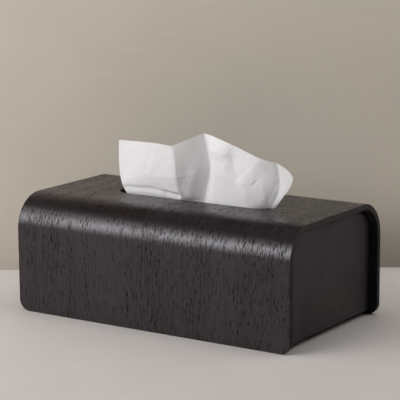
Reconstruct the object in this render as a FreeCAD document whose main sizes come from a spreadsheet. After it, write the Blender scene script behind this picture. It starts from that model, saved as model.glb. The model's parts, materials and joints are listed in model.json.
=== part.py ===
"""Tissue box with a drawer: a bent plywood case, open at both ends, with a wooden drawer.

Millimetres, +Z up, +X along the length. The origin is the bottom centre of the case, on the
surface that it stands on. The case is one bent sheet of plywood (front, top and back) with a
fixed panel near its left end. The drawer closes the right end with a panel of the same form,
runs on two hardwood runners glued to the case walls, and holds the stack of tissues.
"""

import FreeCAD, Part
import os
import re

import Sketcher
from FreeCAD import Vector

DRIVING_SIZES = [
    # the case
    ("case_length", 270),
    ("case_width", 150),
    ("case_height", 100),
    ("ply_thickness", 5),
    ("bend_radius", 29),
    ("foot_corner_radius", 10),
    ("edge_ease", 0.6),
    ("slot_length", 154),
    ("slot_width", 30),
    ("slot_edge_round", 1),
    # the panels that close the two ends
    ("end_recess", 7),
    ("panel_thickness", 9),
    ("panel_edge_round", 2.5),
    ("panel_gap", 1),
    ("floor_gap", 4),
    ("glued_bend_ease", 0.3),
    ("cleat_size", 8),
    ("cleat_height", 56),
    # the runners
    ("runner_width", 5),
    ("runner_height", 8),
    ("runner_level", 26),
    ("runner_front_gap", 2.5),
    ("running_gap", 0.3),
    # the drawer
    ("drawer_rear_gap", 1),
    ("drawer_level", 7),
    ("side_thickness", 9),
    ("side_height", 50),
    ("back_thickness", 8),
    ("back_height", 32),
    ("base_thickness", 3),
    ("base_level", 10),
    ("base_groove_depth", 3),
    ("base_slack", 0.2),
    # dowels and screws
    ("dowel_diameter", 4),
    ("dowel_slack", 0.05),
    ("dowel_chamfer", 0.5),
    ("front_dowel_length", 20),
    ("front_dowel_in_panel", 6),
    ("back_dowel_length", 16),
    ("back_dowel_in_side", 5),
    ("low_dowel_level", 18),
    ("high_front_dowel_level", 44),
    ("high_back_dowel_level", 39),
    ("screw_slack", 0.03),
    ("base_screw_diameter", 3),
    ("base_screw_head", 5.4),
    ("base_screw_length", 12),
    ("base_screw_spacing", 70),
    # the tissues
    ("stack_length", 212),
    ("stack_width", 112),
    ("stack_height", 42),
    ("stack_fold_radius", 1.5),
    ("tissue_rise", 55.3),
    ("tissue_spread", 1.465),
    ("tissue_drift", 13.3),
    ("tissue_thickness", 3),
    ("tissue_tail_gap", 3),
]

# Lengths and places worked out from the driving sizes. Each is an expression of the sheet.
INNER_WIDTH = "(case_width - 2 * ply_thickness)"
INNER_TOP = "(case_height - ply_thickness)"
INNER_BEND = "(bend_radius - ply_thickness)"
PANEL_INNER_X = "(case_length / 2 - end_recess - panel_thickness)"
DRAWER_WIDTH = f"({INNER_WIDTH} - 2 * panel_gap)"
SIDE_INNER_Y = f"({DRAWER_WIDTH} / 2 - side_thickness)"
DRAWER_REAR_X = f"(-{PANEL_INNER_X} + cleat_size + drawer_rear_gap)"
SIDE_LENGTH = f"({PANEL_INNER_X} - {DRAWER_REAR_X})"
RUNNER_LENGTH = f"(2 * {PANEL_INNER_X} - cleat_size - runner_front_gap)"
BASE_TOP = "(base_level + base_thickness)"
GROOVE_HEIGHT = "(runner_height + 2 * running_gap)"
GROOVE_DEPTH = "(runner_width + running_gap - panel_gap)"
CENTRE_OF_PANEL_JOINT = f"({PANEL_INNER_X} + front_dowel_in_panel - front_dowel_length / 2)"

doc = FreeCAD.newDocument("TissueBox")
sheet = doc.addObject("Spreadsheet::Sheet", "Sizes")
for row, (name, size) in enumerate(DRIVING_SIZES, start=1):
    sheet.set(f"A{row}", name)
    sheet.set(f"B{row}", str(size))
    sheet.setAlias(f"B{row}", name)
doc.recompute()


def of_sheet(expression):
    """The expression with each name as a cell of the sheet."""
    return re.sub(r"[a-z_]+", lambda name: "Sizes." + name.group(), str(expression))


def value(expression):
    return float(sheet.evalExpression(of_sheet(expression)))


def bind(thing, prop, expression):
    thing.setExpression(prop, of_sheet(expression))


# ---------------------------------------------------------------- bodies and sketches


def new_body(label, x=0, y=0, z=0):
    body = doc.addObject("PartDesign::Body", label)
    body.Label = label
    for axis, place in (("x", x), ("y", y), ("z", z)):
        bind(body, "Placement.Base." + axis, place)
    return body


def origin_feature(body, role):
    return next(f for f in body.Origin.OriginFeatures if f.Role == role)


def new_sketch(body, plane, offset=0):
    """A sketch on one of the body's own planes, moved along the plane's normal by offset."""
    sketch = body.newObject("Sketcher::SketchObject", body.Name + "_sketch")
    sketch.AttachmentSupport = [(origin_feature(body, plane), "")]
    sketch.MapMode = "FlatFace"
    bind(sketch, "AttachmentOffset.Base.z", offset)
    return sketch


def dimension(sketch, kind, elements, expression):
    """A driving dimension, bound to the sheet."""
    index = sketch.addConstraint(Sketcher.Constraint(kind, *elements, value(expression)))
    bind(sketch, f"Constraints[{index}]", expression)


def add_lines(sketch, corners):
    """A closed run of straight lines; each is level or upright."""
    ends = corners[1:] + corners[:1]
    for start, end in zip(corners, ends):
        line = sketch.addGeometry(Part.LineSegment(Vector(*start), Vector(*end)), False)
        level = abs(start[1] - end[1]) < abs(start[0] - end[0])
        sketch.addConstraint(Sketcher.Constraint("Horizontal" if level else "Vertical", line))
    for line in range(len(corners)):
        following = (line + 1) % len(corners)
        sketch.addConstraint(Sketcher.Constraint("Coincident", line, 2, following, 1))


def rectangle(body, plane, width, height, left=0, low=0, offset=0):
    """A rectangle whose lower left corner is at (left, low) in the sketch."""
    sketch = new_sketch(body, plane, offset)
    x0, y0 = value(left), value(low)
    x1, y1 = x0 + value(width), y0 + value(height)
    add_lines(sketch, [(x0, y0), (x1, y0), (x1, y1), (x0, y1)])
    dimension(sketch, "DistanceX", (-1, 1, 0, 1), left)
    dimension(sketch, "DistanceY", (-1, 1, 0, 1), low)
    dimension(sketch, "DistanceX", (0, 1, 0, 2), width)
    dimension(sketch, "DistanceY", (1, 1, 1, 2), height)
    return sketch


def arch(body, width, height, radius, offset=0):
    """A profile across the box: flat at the foot, upright sides and a flat top on two bends."""
    sketch = new_sketch(body, "YZ_Plane", offset)
    half, top, bend = value(width) / 2, value(height), value(radius)
    level, upright, diagonal = top - bend, half - bend, bend * 0.5**0.5
    sketch.addGeometry(Part.LineSegment(Vector(-half, 0), Vector(half, 0)), False)
    sketch.addGeometry(Part.LineSegment(Vector(half, 0), Vector(half, level)), False)
    sketch.addGeometry(
        Part.Arc(
            Vector(half, level),
            Vector(upright + diagonal, level + diagonal),
            Vector(upright, top),
        ),
        False,
    )
    sketch.addGeometry(Part.LineSegment(Vector(upright, top), Vector(-upright, top)), False)
    sketch.addGeometry(
        Part.Arc(
            Vector(-upright, top),
            Vector(-upright - diagonal, level + diagonal),
            Vector(-half, level),
        ),
        False,
    )
    sketch.addGeometry(Part.LineSegment(Vector(-half, level), Vector(-half, 0)), False)
    foot, right, right_bend, crown, left_bend, left = range(6)
    rules = [
        ("Coincident", foot, 2, right, 1),
        ("Coincident", left, 2, foot, 1),
        ("Tangent", right, 2, right_bend, 1),
        ("Tangent", crown, 1, right_bend, 2),
        ("Tangent", crown, 2, left_bend, 1),
        ("Tangent", left, 1, left_bend, 2),
        ("Horizontal", foot),
        ("Vertical", right),
        ("Vertical", left),
        ("Equal", right_bend, left_bend),
        ("Symmetric", foot, 1, foot, 2, -1, 1),
    ]
    for rule in rules:
        sketch.addConstraint(Sketcher.Constraint(*rule))
    dimension(sketch, "DistanceX", (foot, 1, foot, 2), width)
    dimension(sketch, "DistanceY", (foot, 1, crown, 1), height)
    dimension(sketch, "Radius", (right_bend,), radius)
    return sketch


def stadium(body, plane, length, width):
    """A slot outline with round ends, centred on the origin."""
    sketch = new_sketch(body, plane)
    end = value(width) / 2
    straight = value(length) / 2 - end
    corners = [(straight, -end), (straight, end), (-straight, end), (-straight, -end)]
    tips = [(straight + end, 0), (-straight - end, 0)]
    sketch.addGeometry(Part.LineSegment(Vector(*corners[3]), Vector(*corners[0])), False)
    sketch.addGeometry(
        Part.Arc(Vector(*corners[0]), Vector(*tips[0]), Vector(*corners[1])), False
    )
    sketch.addGeometry(Part.LineSegment(Vector(*corners[1]), Vector(*corners[2])), False)
    sketch.addGeometry(
        Part.Arc(Vector(*corners[2]), Vector(*tips[1]), Vector(*corners[3])), False
    )
    low, right, high, left = range(4)
    rules = [
        ("Tangent", low, 2, right, 1),
        ("Tangent", high, 1, right, 2),
        ("Tangent", high, 2, left, 1),
        ("Tangent", low, 1, left, 2),
        ("Horizontal", low),
        ("Equal", right, left),
        ("Symmetric", right, 3, left, 3, -1, 1),
    ]
    for rule in rules:
        sketch.addConstraint(Sketcher.Constraint(*rule))
    dimension(sketch, "Radius", (right,), f"{width} / 2")
    dimension(sketch, "DistanceX", (left, 3, right, 3), f"{length} - {width}")
    return sketch


def circles(body, plane, diameter, centres, offset=0):
    """Equal circles; each centre is a pair of expressions."""
    sketch = new_sketch(body, plane, offset)
    for index, (x, y) in enumerate(centres):
        centre = Vector(value(x), value(y))
        circle = Part.Circle(centre, Vector(0, 0, 1), value(diameter) / 2)
        sketch.addGeometry(circle, False)
        dimension(sketch, "Diameter", (index,), diameter)
        dimension(sketch, "DistanceX", (-1, 1, index, 3), x)
        dimension(sketch, "DistanceY", (-1, 1, index, 3), y)
    return sketch


# ---------------------------------------------------------------- features


def pad(body, sketch, length, both_ways=False, reverse=False):
    feature = body.newObject("PartDesign::Pad", body.Name + "_pad")
    feature.Profile = sketch
    feature.SideType = "Symmetric" if both_ways else "One side"
    feature.Reversed = reverse
    bind(feature, "Length", length)
    doc.recompute()
    return feature


def cut(body, feature, volume_before):
    """Stops the build if a cut has taken nothing away."""
    doc.recompute()
    if feature.Shape.isNull() or feature.Shape.Volume > volume_before - 1e-3:
        raise ValueError(f"{body.Label}: {feature.Label} cuts nothing")
    return feature


def pocket(body, sketch, depth=None, both_ways=False, reverse=False):
    """A pocket of that depth, or right through where no depth is given."""
    before = body.Shape.Volume
    feature = body.newObject("PartDesign::Pocket", body.Name + "_pocket")
    feature.Profile = sketch
    feature.SideType = "Symmetric" if both_ways else "One side"
    feature.Reversed = reverse
    if depth is None:
        feature.Type = "ThroughAll"
    else:
        bind(feature, "Length", depth)
    return cut(body, feature, before)


def countersunk_holes(body, sketch, diameter, head):
    """Holes with a 90 degree countersink, one at each circle, through along the sketch's normal."""
    doc.recompute()
    before = body.Shape.Volume
    hole = body.newObject("PartDesign::Hole", body.Name + "_holes")
    hole.Profile = sketch
    hole.DepthType = "ThroughAll"
    hole.HoleCutType = "Countersink"
    hole.HoleCutCustomValues = True
    hole.HoleCutCountersinkAngle = 90
    hole.Reversed = True
    bind(hole, "Diameter", diameter)
    bind(hole, "HoleCutDiameter", head)
    return cut(body, hole, before)


def edges_where(shape, test):
    return [f"Edge{i}" for i, edge in enumerate(shape.Edges, start=1) if test(edge)]


def round_edges(body, radius, test, kind="PartDesign::Fillet"):
    """A fillet, or a chamfer, on the edges of the body that pass the test."""
    base = body.Tip
    feature = body.newObject(kind, body.Name + "_edges")
    feature.Base = (base, edges_where(base.Shape, test))
    bind(feature, "Radius" if kind.endswith("Fillet") else "Size", radius)
    doc.recompute()
    return feature


def near(number, expression):
    return abs(number - value(expression)) < 1e-4


def spans(edge, axis, expression):
    """Whether the edge lies wholly at that place along the axis."""
    box = edge.BoundBox
    low, high = getattr(box, axis + "Min"), getattr(box, axis + "Max")
    return near(low, expression) and near(high, expression)


def mirrored(source, label):
    """The same piece for the other side of the box."""
    twin = doc.addObject("Part::Mirroring", label)
    twin.Label = label
    twin.Source = source
    twin.Normal = Vector(0, 1, 0)
    return twin


# ---------------------------------------------------------------- the case


def bent_shell():
    """Front, top and back in one bent sheet, with the dispensing slot through the top."""
    body = new_body("bent_shell")
    pad(body, arch(body, "case_width", "case_height", "bend_radius"), "case_length", both_ways=True)
    pocket(body, arch(body, INNER_WIDTH, INNER_TOP, INNER_BEND), both_ways=True)
    pocket(body, stadium(body, "XY_Plane", "slot_length", "slot_width"), reverse=True)

    def foot_corner(edge):
        at_end = spans(edge, "X", "case_length / 2") or spans(edge, "X", "-case_length / 2")
        return at_end and spans(edge, "Z", 0)

    def slot_rim(edge):
        level = spans(edge, "Z", "case_height")
        box = edge.BoundBox
        within = max(abs(box.YMin), abs(box.YMax)) < value("slot_width / 2") + 1e-3
        return level and within and abs(box.XMax) < value("slot_length / 2") + 1e-3

    def end_edge(edge):
        return spans(edge, "X", "case_length / 2") or spans(edge, "X", "-case_length / 2")

    round_edges(body, "foot_corner_radius", foot_corner)
    round_edges(body, "slot_edge_round", slot_rim)
    round_edges(body, "edge_ease", end_edge, kind="PartDesign::Chamfer")
    return body


def end_panel(label, width, height, radius, x):
    """A panel of the case's inner profile, with rounded edges on its outer face."""
    body = new_body(label, x=x, z="floor_gap")
    pad(body, arch(body, width, height, radius), "panel_thickness")
    round_edges(body, "panel_edge_round", lambda edge: spans(edge, "X", "panel_thickness"))
    return body


def left_end_panel():
    """The fixed panel: its sides are glued to the walls, and it is turned to face left."""
    body = end_panel(
        "left_end_panel",
        INNER_WIDTH,
        f"{INNER_TOP} - floor_gap",
        f"{INNER_BEND} + glued_bend_ease",
        f"-{PANEL_INNER_X}",
    )
    body.Placement.Rotation = FreeCAD.Rotation(Vector(0, 0, 1), 180)
    return body


def left_panel_cleats():
    """Two upright strips glued in the corners between the fixed panel and the walls."""
    body = new_body("left_panel_cleats", x=f"-{PANEL_INNER_X}", z="floor_gap")
    for left in (f"-{INNER_WIDTH} / 2", f"{INNER_WIDTH} / 2 - cleat_size"):
        strip = rectangle(body, "YZ_Plane", "cleat_size", "cleat_height", left=left)
        pad(body, strip, "cleat_size")
    inner_edge = f"{INNER_WIDTH} / 2 - cleat_size"

    def open_corner(edge):
        upright = near(edge.Length, "cleat_height")
        inward = spans(edge, "Y", inner_edge) or spans(edge, "Y", f"-({inner_edge})")
        return upright and inward and spans(edge, "X", "cleat_size")

    round_edges(body, "cleat_size / 4", open_corner, kind="PartDesign::Chamfer")
    return body


def front_runner():
    """The strip on the front wall that the drawer's groove rides on."""
    body = new_body(
        "front_runner",
        x=f"-{PANEL_INNER_X} + cleat_size",
        y=f"-{INNER_WIDTH} / 2",
        z="runner_level",
    )
    pad(body, rectangle(body, "YZ_Plane", "runner_width", "runner_height"), RUNNER_LENGTH)

    def leading_corner(edge):
        return spans(edge, "X", RUNNER_LENGTH) and spans(edge, "Y", "runner_width")

    round_edges(body, "runner_width / 4", leading_corner)
    return body


def screw_profile(body, plane, diameter, head, length):
    """Half the section of a countersunk screw: its head is at the origin and it points up."""
    sketch = new_sketch(body, plane)
    shank, rim, tip = value(diameter) / 2, value(head) / 2, value(length)
    neck = rim - shank
    corners = [(0, 0), (rim, 0), (shank, neck), (shank, tip - shank), (0, tip)]
    for start, end in zip(corners, corners[1:] + corners[:1]):
        sketch.addGeometry(Part.LineSegment(Vector(*start), Vector(*end)), False)
    for line in range(5):
        sketch.addConstraint(Sketcher.Constraint("Coincident", line, 2, (line + 1) % 5, 1))
    face, cone, side, point, axis = range(5)
    for rule in (("Horizontal", face), ("Vertical", side), ("Vertical", axis)):
        sketch.addConstraint(Sketcher.Constraint(*rule))
    sketch.addConstraint(Sketcher.Constraint("Coincident", face, 1, -1, 1))
    dimension(sketch, "DistanceX", (face, 1, face, 2), f"{head} / 2")
    dimension(sketch, "DistanceX", (axis, 2, side, 2), f"{diameter} / 2")
    dimension(sketch, "DistanceY", (face, 1, cone, 2), f"({head} - {diameter}) / 2")
    dimension(sketch, "DistanceY", (side, 2, point, 2), f"{diameter} / 2")
    dimension(sketch, "DistanceY", (face, 1, axis, 1), length)
    return sketch


def screw_row(label, diameter, head, length, spacing, count, place):
    """A row of equal screws along the body's X axis, head down, each a solid of its own."""
    body = new_body(label, *place)
    sketch = screw_profile(body, "XZ_Plane", diameter, head, length)
    turn = body.newObject("PartDesign::Revolution", label + "_turn")
    turn.Profile = sketch
    turn.ReferenceAxis = (sketch, ["V_Axis"])
    turn.Angle = 360
    doc.recompute()
    row = body.newObject("PartDesign::LinearPattern", label + "_row")
    row.Originals = [turn]
    row.Direction = (origin_feature(body, "X_Axis"), [""])
    row.Occurrences = count
    bind(row, "Length", f"{count - 1} * {spacing}")
    body.Tip = row
    doc.recompute()
    return body


# ---------------------------------------------------------------- the drawer


def drawer_front():
    """The panel that is seen at the right end, grooved for the base and bored for dowels."""
    body = end_panel(
        "drawer_front",
        DRAWER_WIDTH,
        f"{INNER_TOP} - panel_gap - floor_gap",
        f"{INNER_BEND} - panel_gap",
        PANEL_INNER_X,
    )
    groove_width = f"(2 * ({SIDE_INNER_Y} + base_groove_depth))"
    groove = rectangle(
        body,
        "YZ_Plane",
        groove_width,
        "base_thickness + base_slack",
        left=f"-{groove_width} / 2",
        low="base_level - floor_gap",
    )
    pocket(body, groove, "base_groove_depth", reverse=True)
    holes = circles(
        body,
        "YZ_Plane",
        "dowel_diameter + 2 * dowel_slack",
        [(y, f"{z} - floor_gap") for y, z in front_dowel_places()],
    )
    pocket(body, holes, "front_dowel_in_panel + dowel_slack", reverse=True)
    return body


def front_dowel_places():
    """Across the box and above the table: two dowels in the end of each drawer side."""
    across = f"({SIDE_INNER_Y} + side_thickness / 2)"
    levels = ("low_dowel_level", "high_front_dowel_level")
    return [(f"{hand} * {across}", level) for hand in (-1, 1) for level in levels]


def near_drawer_side():
    """The drawer side next to the front wall, with its outer face on the body's own XZ plane."""
    body = new_body("near_drawer_side", DRAWER_REAR_X, f"-{DRAWER_WIDTH} / 2", "drawer_level")
    board = rectangle(body, "YZ_Plane", "side_thickness", "side_height")
    pad(body, board, SIDE_LENGTH)
    base_groove = rectangle(
        body,
        "YZ_Plane",
        "base_groove_depth",
        "base_thickness + base_slack",
        left="side_thickness - base_groove_depth",
        low="base_level - drawer_level",
    )
    pocket(body, base_groove, reverse=True)
    runner_groove = rectangle(
        body,
        "YZ_Plane",
        GROOVE_DEPTH,
        GROOVE_HEIGHT,
        low="runner_level - running_gap - drawer_level",
    )
    groove_length = f"{SIDE_LENGTH} - runner_front_gap + running_gap"
    pocket(body, runner_groove, groove_length, reverse=True)
    levels = [f"{level} - drawer_level" for level in ("low_dowel_level", "high_front_dowel_level")]
    front_holes = circles(
        body,
        "YZ_Plane",
        "dowel_diameter + 2 * dowel_slack",
        [("side_thickness / 2", level) for level in levels],
        offset=SIDE_LENGTH,
    )
    pocket(body, front_holes, "front_dowel_length - front_dowel_in_panel + dowel_slack")
    back_holes = circles(
        body,
        "XZ_Plane",
        "dowel_diameter + 2 * dowel_slack",
        [
            ("back_thickness / 2", "low_dowel_level - drawer_level"),
            ("back_thickness / 2", "high_back_dowel_level - drawer_level"),
        ],
        offset="-side_thickness",
    )
    pocket(body, back_holes, "back_dowel_in_side + dowel_slack", reverse=True)
    round_edges(
        body,
        "edge_ease",
        lambda edge: near(edge.Length, SIDE_LENGTH) and spans(edge, "Z", "side_height"),
    )
    return body


def drawer_back():
    """The low back between the sides: it stands on the base and passes under the slot's tissue."""
    body = new_body("drawer_back", DRAWER_REAR_X, 0, BASE_TOP)
    width = f"(2 * {SIDE_INNER_Y})"
    board = rectangle(body, "YZ_Plane", width, "back_height", left=f"-{width} / 2")
    pad(body, board, "back_thickness")
    dowel_holes = circles(
        body,
        "XZ_Plane",
        "dowel_diameter + 2 * dowel_slack",
        [
            ("back_thickness / 2", f"low_dowel_level - {BASE_TOP}"),
            ("back_thickness / 2", f"high_back_dowel_level - {BASE_TOP}"),
        ],
        offset=SIDE_INNER_Y,
    )
    depth = "back_dowel_length - back_dowel_in_side + dowel_slack"
    pocket(body, dowel_holes, depth)
    far_holes = circles(
        body,
        "XZ_Plane",
        "dowel_diameter + 2 * dowel_slack",
        [
            ("back_thickness / 2", f"low_dowel_level - {BASE_TOP}"),
            ("back_thickness / 2", f"high_back_dowel_level - {BASE_TOP}"),
        ],
        offset=f"-{SIDE_INNER_Y}",
    )
    pocket(body, far_holes, depth, reverse=True)
    screw_holes = circles(
        body,
        "XY_Plane",
        "base_screw_diameter + 2 * screw_slack",
        [("back_thickness / 2", f"{hand} * base_screw_spacing / 2") for hand in (-1, 1)],
    )
    pocket(body, screw_holes, "base_screw_length - base_thickness + screw_slack", reverse=True)
    round_edges(
        body,
        "edge_ease",
        lambda edge: near(edge.Length, width) and spans(edge, "Z", "back_height"),
    )
    return body


def drawer_base():
    """The thin base board in the grooves of the sides and front, screwed up into the back."""
    length = f"({SIDE_LENGTH} + base_groove_depth - base_slack)"
    width = f"(2 * ({SIDE_INNER_Y} + base_groove_depth - base_slack))"
    body = new_body("drawer_base", DRAWER_REAR_X, 0, "base_level")
    board = rectangle(body, "XY_Plane", length, width, low=f"-{width} / 2")
    pad(body, board, "base_thickness")
    sketch = circles(
        body,
        "XY_Plane",
        "base_screw_diameter + 2 * screw_slack",
        [("back_thickness / 2", f"{hand} * base_screw_spacing / 2") for hand in (-1, 1)],
    )
    countersunk_holes(
        body,
        sketch,
        "base_screw_diameter + 2 * screw_slack",
        "base_screw_head + 2 * screw_slack",
    )
    return body


def base_screws():
    """Two screws up through the base into the drawer's back."""
    body = screw_row(
        "base_screws",
        "base_screw_diameter",
        "base_screw_head",
        "base_screw_length",
        "base_screw_spacing",
        2,
        (f"{DRAWER_REAR_X} + back_thickness / 2", "-base_screw_spacing / 2", "base_level"),
    )
    body.Placement.Rotation = FreeCAD.Rotation(Vector(0, 0, 1), 90)
    return body


def dowels(label, plane, centres, length, places):
    """Beech dowels across the plane, each a solid of its own, with chamfered ends."""
    body = new_body(label, *places)
    pad(body, circles(body, plane, "dowel_diameter", centres), length, both_ways=True)
    round_edges(
        body,
        "dowel_chamfer",
        lambda edge: len(edge.Vertexes) == 1,
        kind="PartDesign::Chamfer",
    )
    return body


def front_dowels():
    """Four dowels from the drawer front into the ends of the two sides."""
    return dowels(
        "front_dowels",
        "YZ_Plane",
        front_dowel_places(),
        "front_dowel_length",
        (CENTRE_OF_PANEL_JOINT, 0, 0),
    )


def near_back_dowels():
    """Two dowels from the near side into the end of the drawer's back."""
    centre = f"-({SIDE_INNER_Y} + back_dowel_in_side - back_dowel_length / 2)"
    levels = ("low_dowel_level", "high_back_dowel_level")
    return dowels(
        "near_back_dowels",
        "XZ_Plane",
        [(0, level) for level in levels],
        "back_dowel_length",
        (f"{DRAWER_REAR_X} + back_thickness / 2", centre, 0),
    )


# ---------------------------------------------------------------- the tissues


def tissue_stack():
    """The started stack of folded tissues: one soft block, round along its two folded sides."""
    rear = f"({DRAWER_REAR_X} + back_thickness)"
    body = new_body("tissue_stack", f"({rear} + {PANEL_INNER_X} - stack_length) / 2", 0, BASE_TOP)
    block = rectangle(
        body, "YZ_Plane", "stack_width", "stack_height", left="-stack_width / 2"
    )
    pad(body, block, "stack_length")
    round_edges(body, "stack_fold_radius", lambda edge: near(edge.Length, "stack_length"))
    return body


# The folds of the tissue that stands in the slot, from its left edge to its right edge, as
# shares of half the slot's length and width.
TISSUE_FOLDS = [(-0.88, -0.50), (-0.36, -0.78), (-0.04, -0.25), (0.40, -0.76), (0.92, -0.20)]
# The tissue's upper outline, as shares of half the slot's length and of the tissue's rise.
TISSUE_OUTLINE = [
    (-1.20, -1.0),
    (-1.20, 0.35),
    (-1.06, 0.765),
    (-0.68, 0.75),
    (-0.33, 0.77),
    (0.12, 1.0),
    (0.55, 0.828),
    (1.05, 0.66),
    (1.23, 0.48),
    (1.09, 0.15),
    (0.96, -0.02),
    (0.96, -1.0),
]


def folded_line(spread, drift, level):
    """The tissue's folds at one level: its front line and, behind it, its rear line."""
    half_length, half_width = value("slot_length / 2"), value("slot_width / 2")
    deep = value("tissue_thickness / 2")
    folds = [(x * half_length * spread + drift, y * half_width * spread) for x, y in TISSUE_FOLDS]
    front = [Vector(x, y - deep, level) for x, y in folds]
    rear = [Vector(x, y + deep, level) for x, y in folds]
    return front + rear[::-1]


def pleated(low, high):
    """A solid between two closed runs of points whose matching sides are parallel."""
    following = low[1:] + low[:1], high[1:] + high[:1]
    sides = [
        Part.Face(Part.makePolygon([a, b, c, d, a]))
        for a, b, c, d in zip(low, following[0], following[1], high)
    ]
    ends = [Part.Face(Part.makePolygon(run + run[:1])) for run in (low, high)]
    return Part.makeSolid(Part.makeShell(sides + ends))


def popup_tissue():
    """The tissue that stands in the slot: a folded sheet that spreads upward out of the slot,
    with its tail hanging inside the case just above the stack."""
    rim, rise = value("case_height"), value("tissue_rise")
    tail_end = value(f"{BASE_TOP} + stack_height + tissue_tail_gap")
    in_slot = folded_line(1, 0, value(INNER_TOP))
    tail = pleated(folded_line(1, 0, tail_end), in_slot)
    fan = pleated(in_slot, folded_line(value("tissue_spread"), value("tissue_drift"), rim + rise))
    half_length, deep = value("slot_length / 2"), value("case_width")
    corners = [Vector(x * half_length, -deep / 2, rim + z * rise) for x, z in TISSUE_OUTLINE]
    outline = Part.Face(Part.makePolygon(corners + corners[:1])).extrude(Vector(0, deep, 0))
    tissue = doc.addObject("Part::Feature", "popup_tissue")
    tissue.Label = "popup_tissue"
    tissue.Shape = tail.fuse(fan).common(outline)
    return tissue


# ---------------------------------------------------------------- build, check and write

near_side = near_drawer_side()
runner = front_runner()
back_dowels = near_back_dowels()
pieces = [
    bent_shell(),
    left_end_panel(),
    left_panel_cleats(),
    runner,
    mirrored(runner, "rear_runner"),
    drawer_front(),
    near_side,
    mirrored(near_side, "far_drawer_side"),
    drawer_back(),
    drawer_base(),
    base_screws(),
    front_dowels(),
    back_dowels,
    mirrored(back_dowels, "far_back_dowels"),
    tissue_stack(),
    popup_tissue(),
]
doc.recompute()

for thing in doc.Objects:
    if "Invalid" in thing.State or "Error" in thing.State:
        raise ValueError(f"{thing.Label} has failed: {thing.State}")
for piece in pieces:
    if piece.Shape.isNull() or not piece.Shape.isValid() or not piece.Shape.Solids:
        raise ValueError(f"{piece.Label} has no valid solid")

os.makedirs("parts", exist_ok=True)
for piece in pieces:
    piece.Shape.exportStep(f"parts/{piece.Label}.step")
    box = piece.Shape.BoundBox
    print(
        f"{piece.Label}: {len(piece.Shape.Solids)} solid(s), {piece.Shape.Volume:.0f} mm3, "
        f"X {box.XMin:.2f} {box.XMax:.2f}, Y {box.YMin:.2f} {box.YMax:.2f}, "
        f"Z {box.ZMin:.2f} {box.ZMax:.2f}"
    )
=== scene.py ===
"""Tissue box with a drawer, dressed for the render. Metres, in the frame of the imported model.

The CAD nodes keep their shapes and get procedural finishes. The two soft pieces, the standing
tissue and the folded stack in the drawer, are modelled here and replace their plain solids.
"""

import json
import math
import random

import bmesh
import bpy
from mathutils import Matrix, Vector

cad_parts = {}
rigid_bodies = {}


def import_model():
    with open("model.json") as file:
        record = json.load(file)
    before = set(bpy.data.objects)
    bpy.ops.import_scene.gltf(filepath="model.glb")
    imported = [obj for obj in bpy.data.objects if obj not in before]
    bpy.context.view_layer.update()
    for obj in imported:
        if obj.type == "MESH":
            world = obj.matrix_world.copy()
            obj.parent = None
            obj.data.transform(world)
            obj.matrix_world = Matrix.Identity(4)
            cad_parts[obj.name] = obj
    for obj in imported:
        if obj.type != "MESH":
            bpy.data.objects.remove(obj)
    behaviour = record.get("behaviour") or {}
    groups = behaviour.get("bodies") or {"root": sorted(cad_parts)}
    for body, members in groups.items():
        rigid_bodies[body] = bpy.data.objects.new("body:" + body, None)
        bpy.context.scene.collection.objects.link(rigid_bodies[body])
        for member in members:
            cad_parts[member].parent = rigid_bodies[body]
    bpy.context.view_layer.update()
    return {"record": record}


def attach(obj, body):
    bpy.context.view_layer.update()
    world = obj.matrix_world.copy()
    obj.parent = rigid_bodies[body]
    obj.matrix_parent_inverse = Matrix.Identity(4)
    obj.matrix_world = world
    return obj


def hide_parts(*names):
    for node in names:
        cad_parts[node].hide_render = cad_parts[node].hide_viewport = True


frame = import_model()

MM = 0.001
PORE_EDGE = 0.06  # mm on each side of a pore's edge, over which it fades


# ---------------------------------------------------------------- materials


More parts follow.
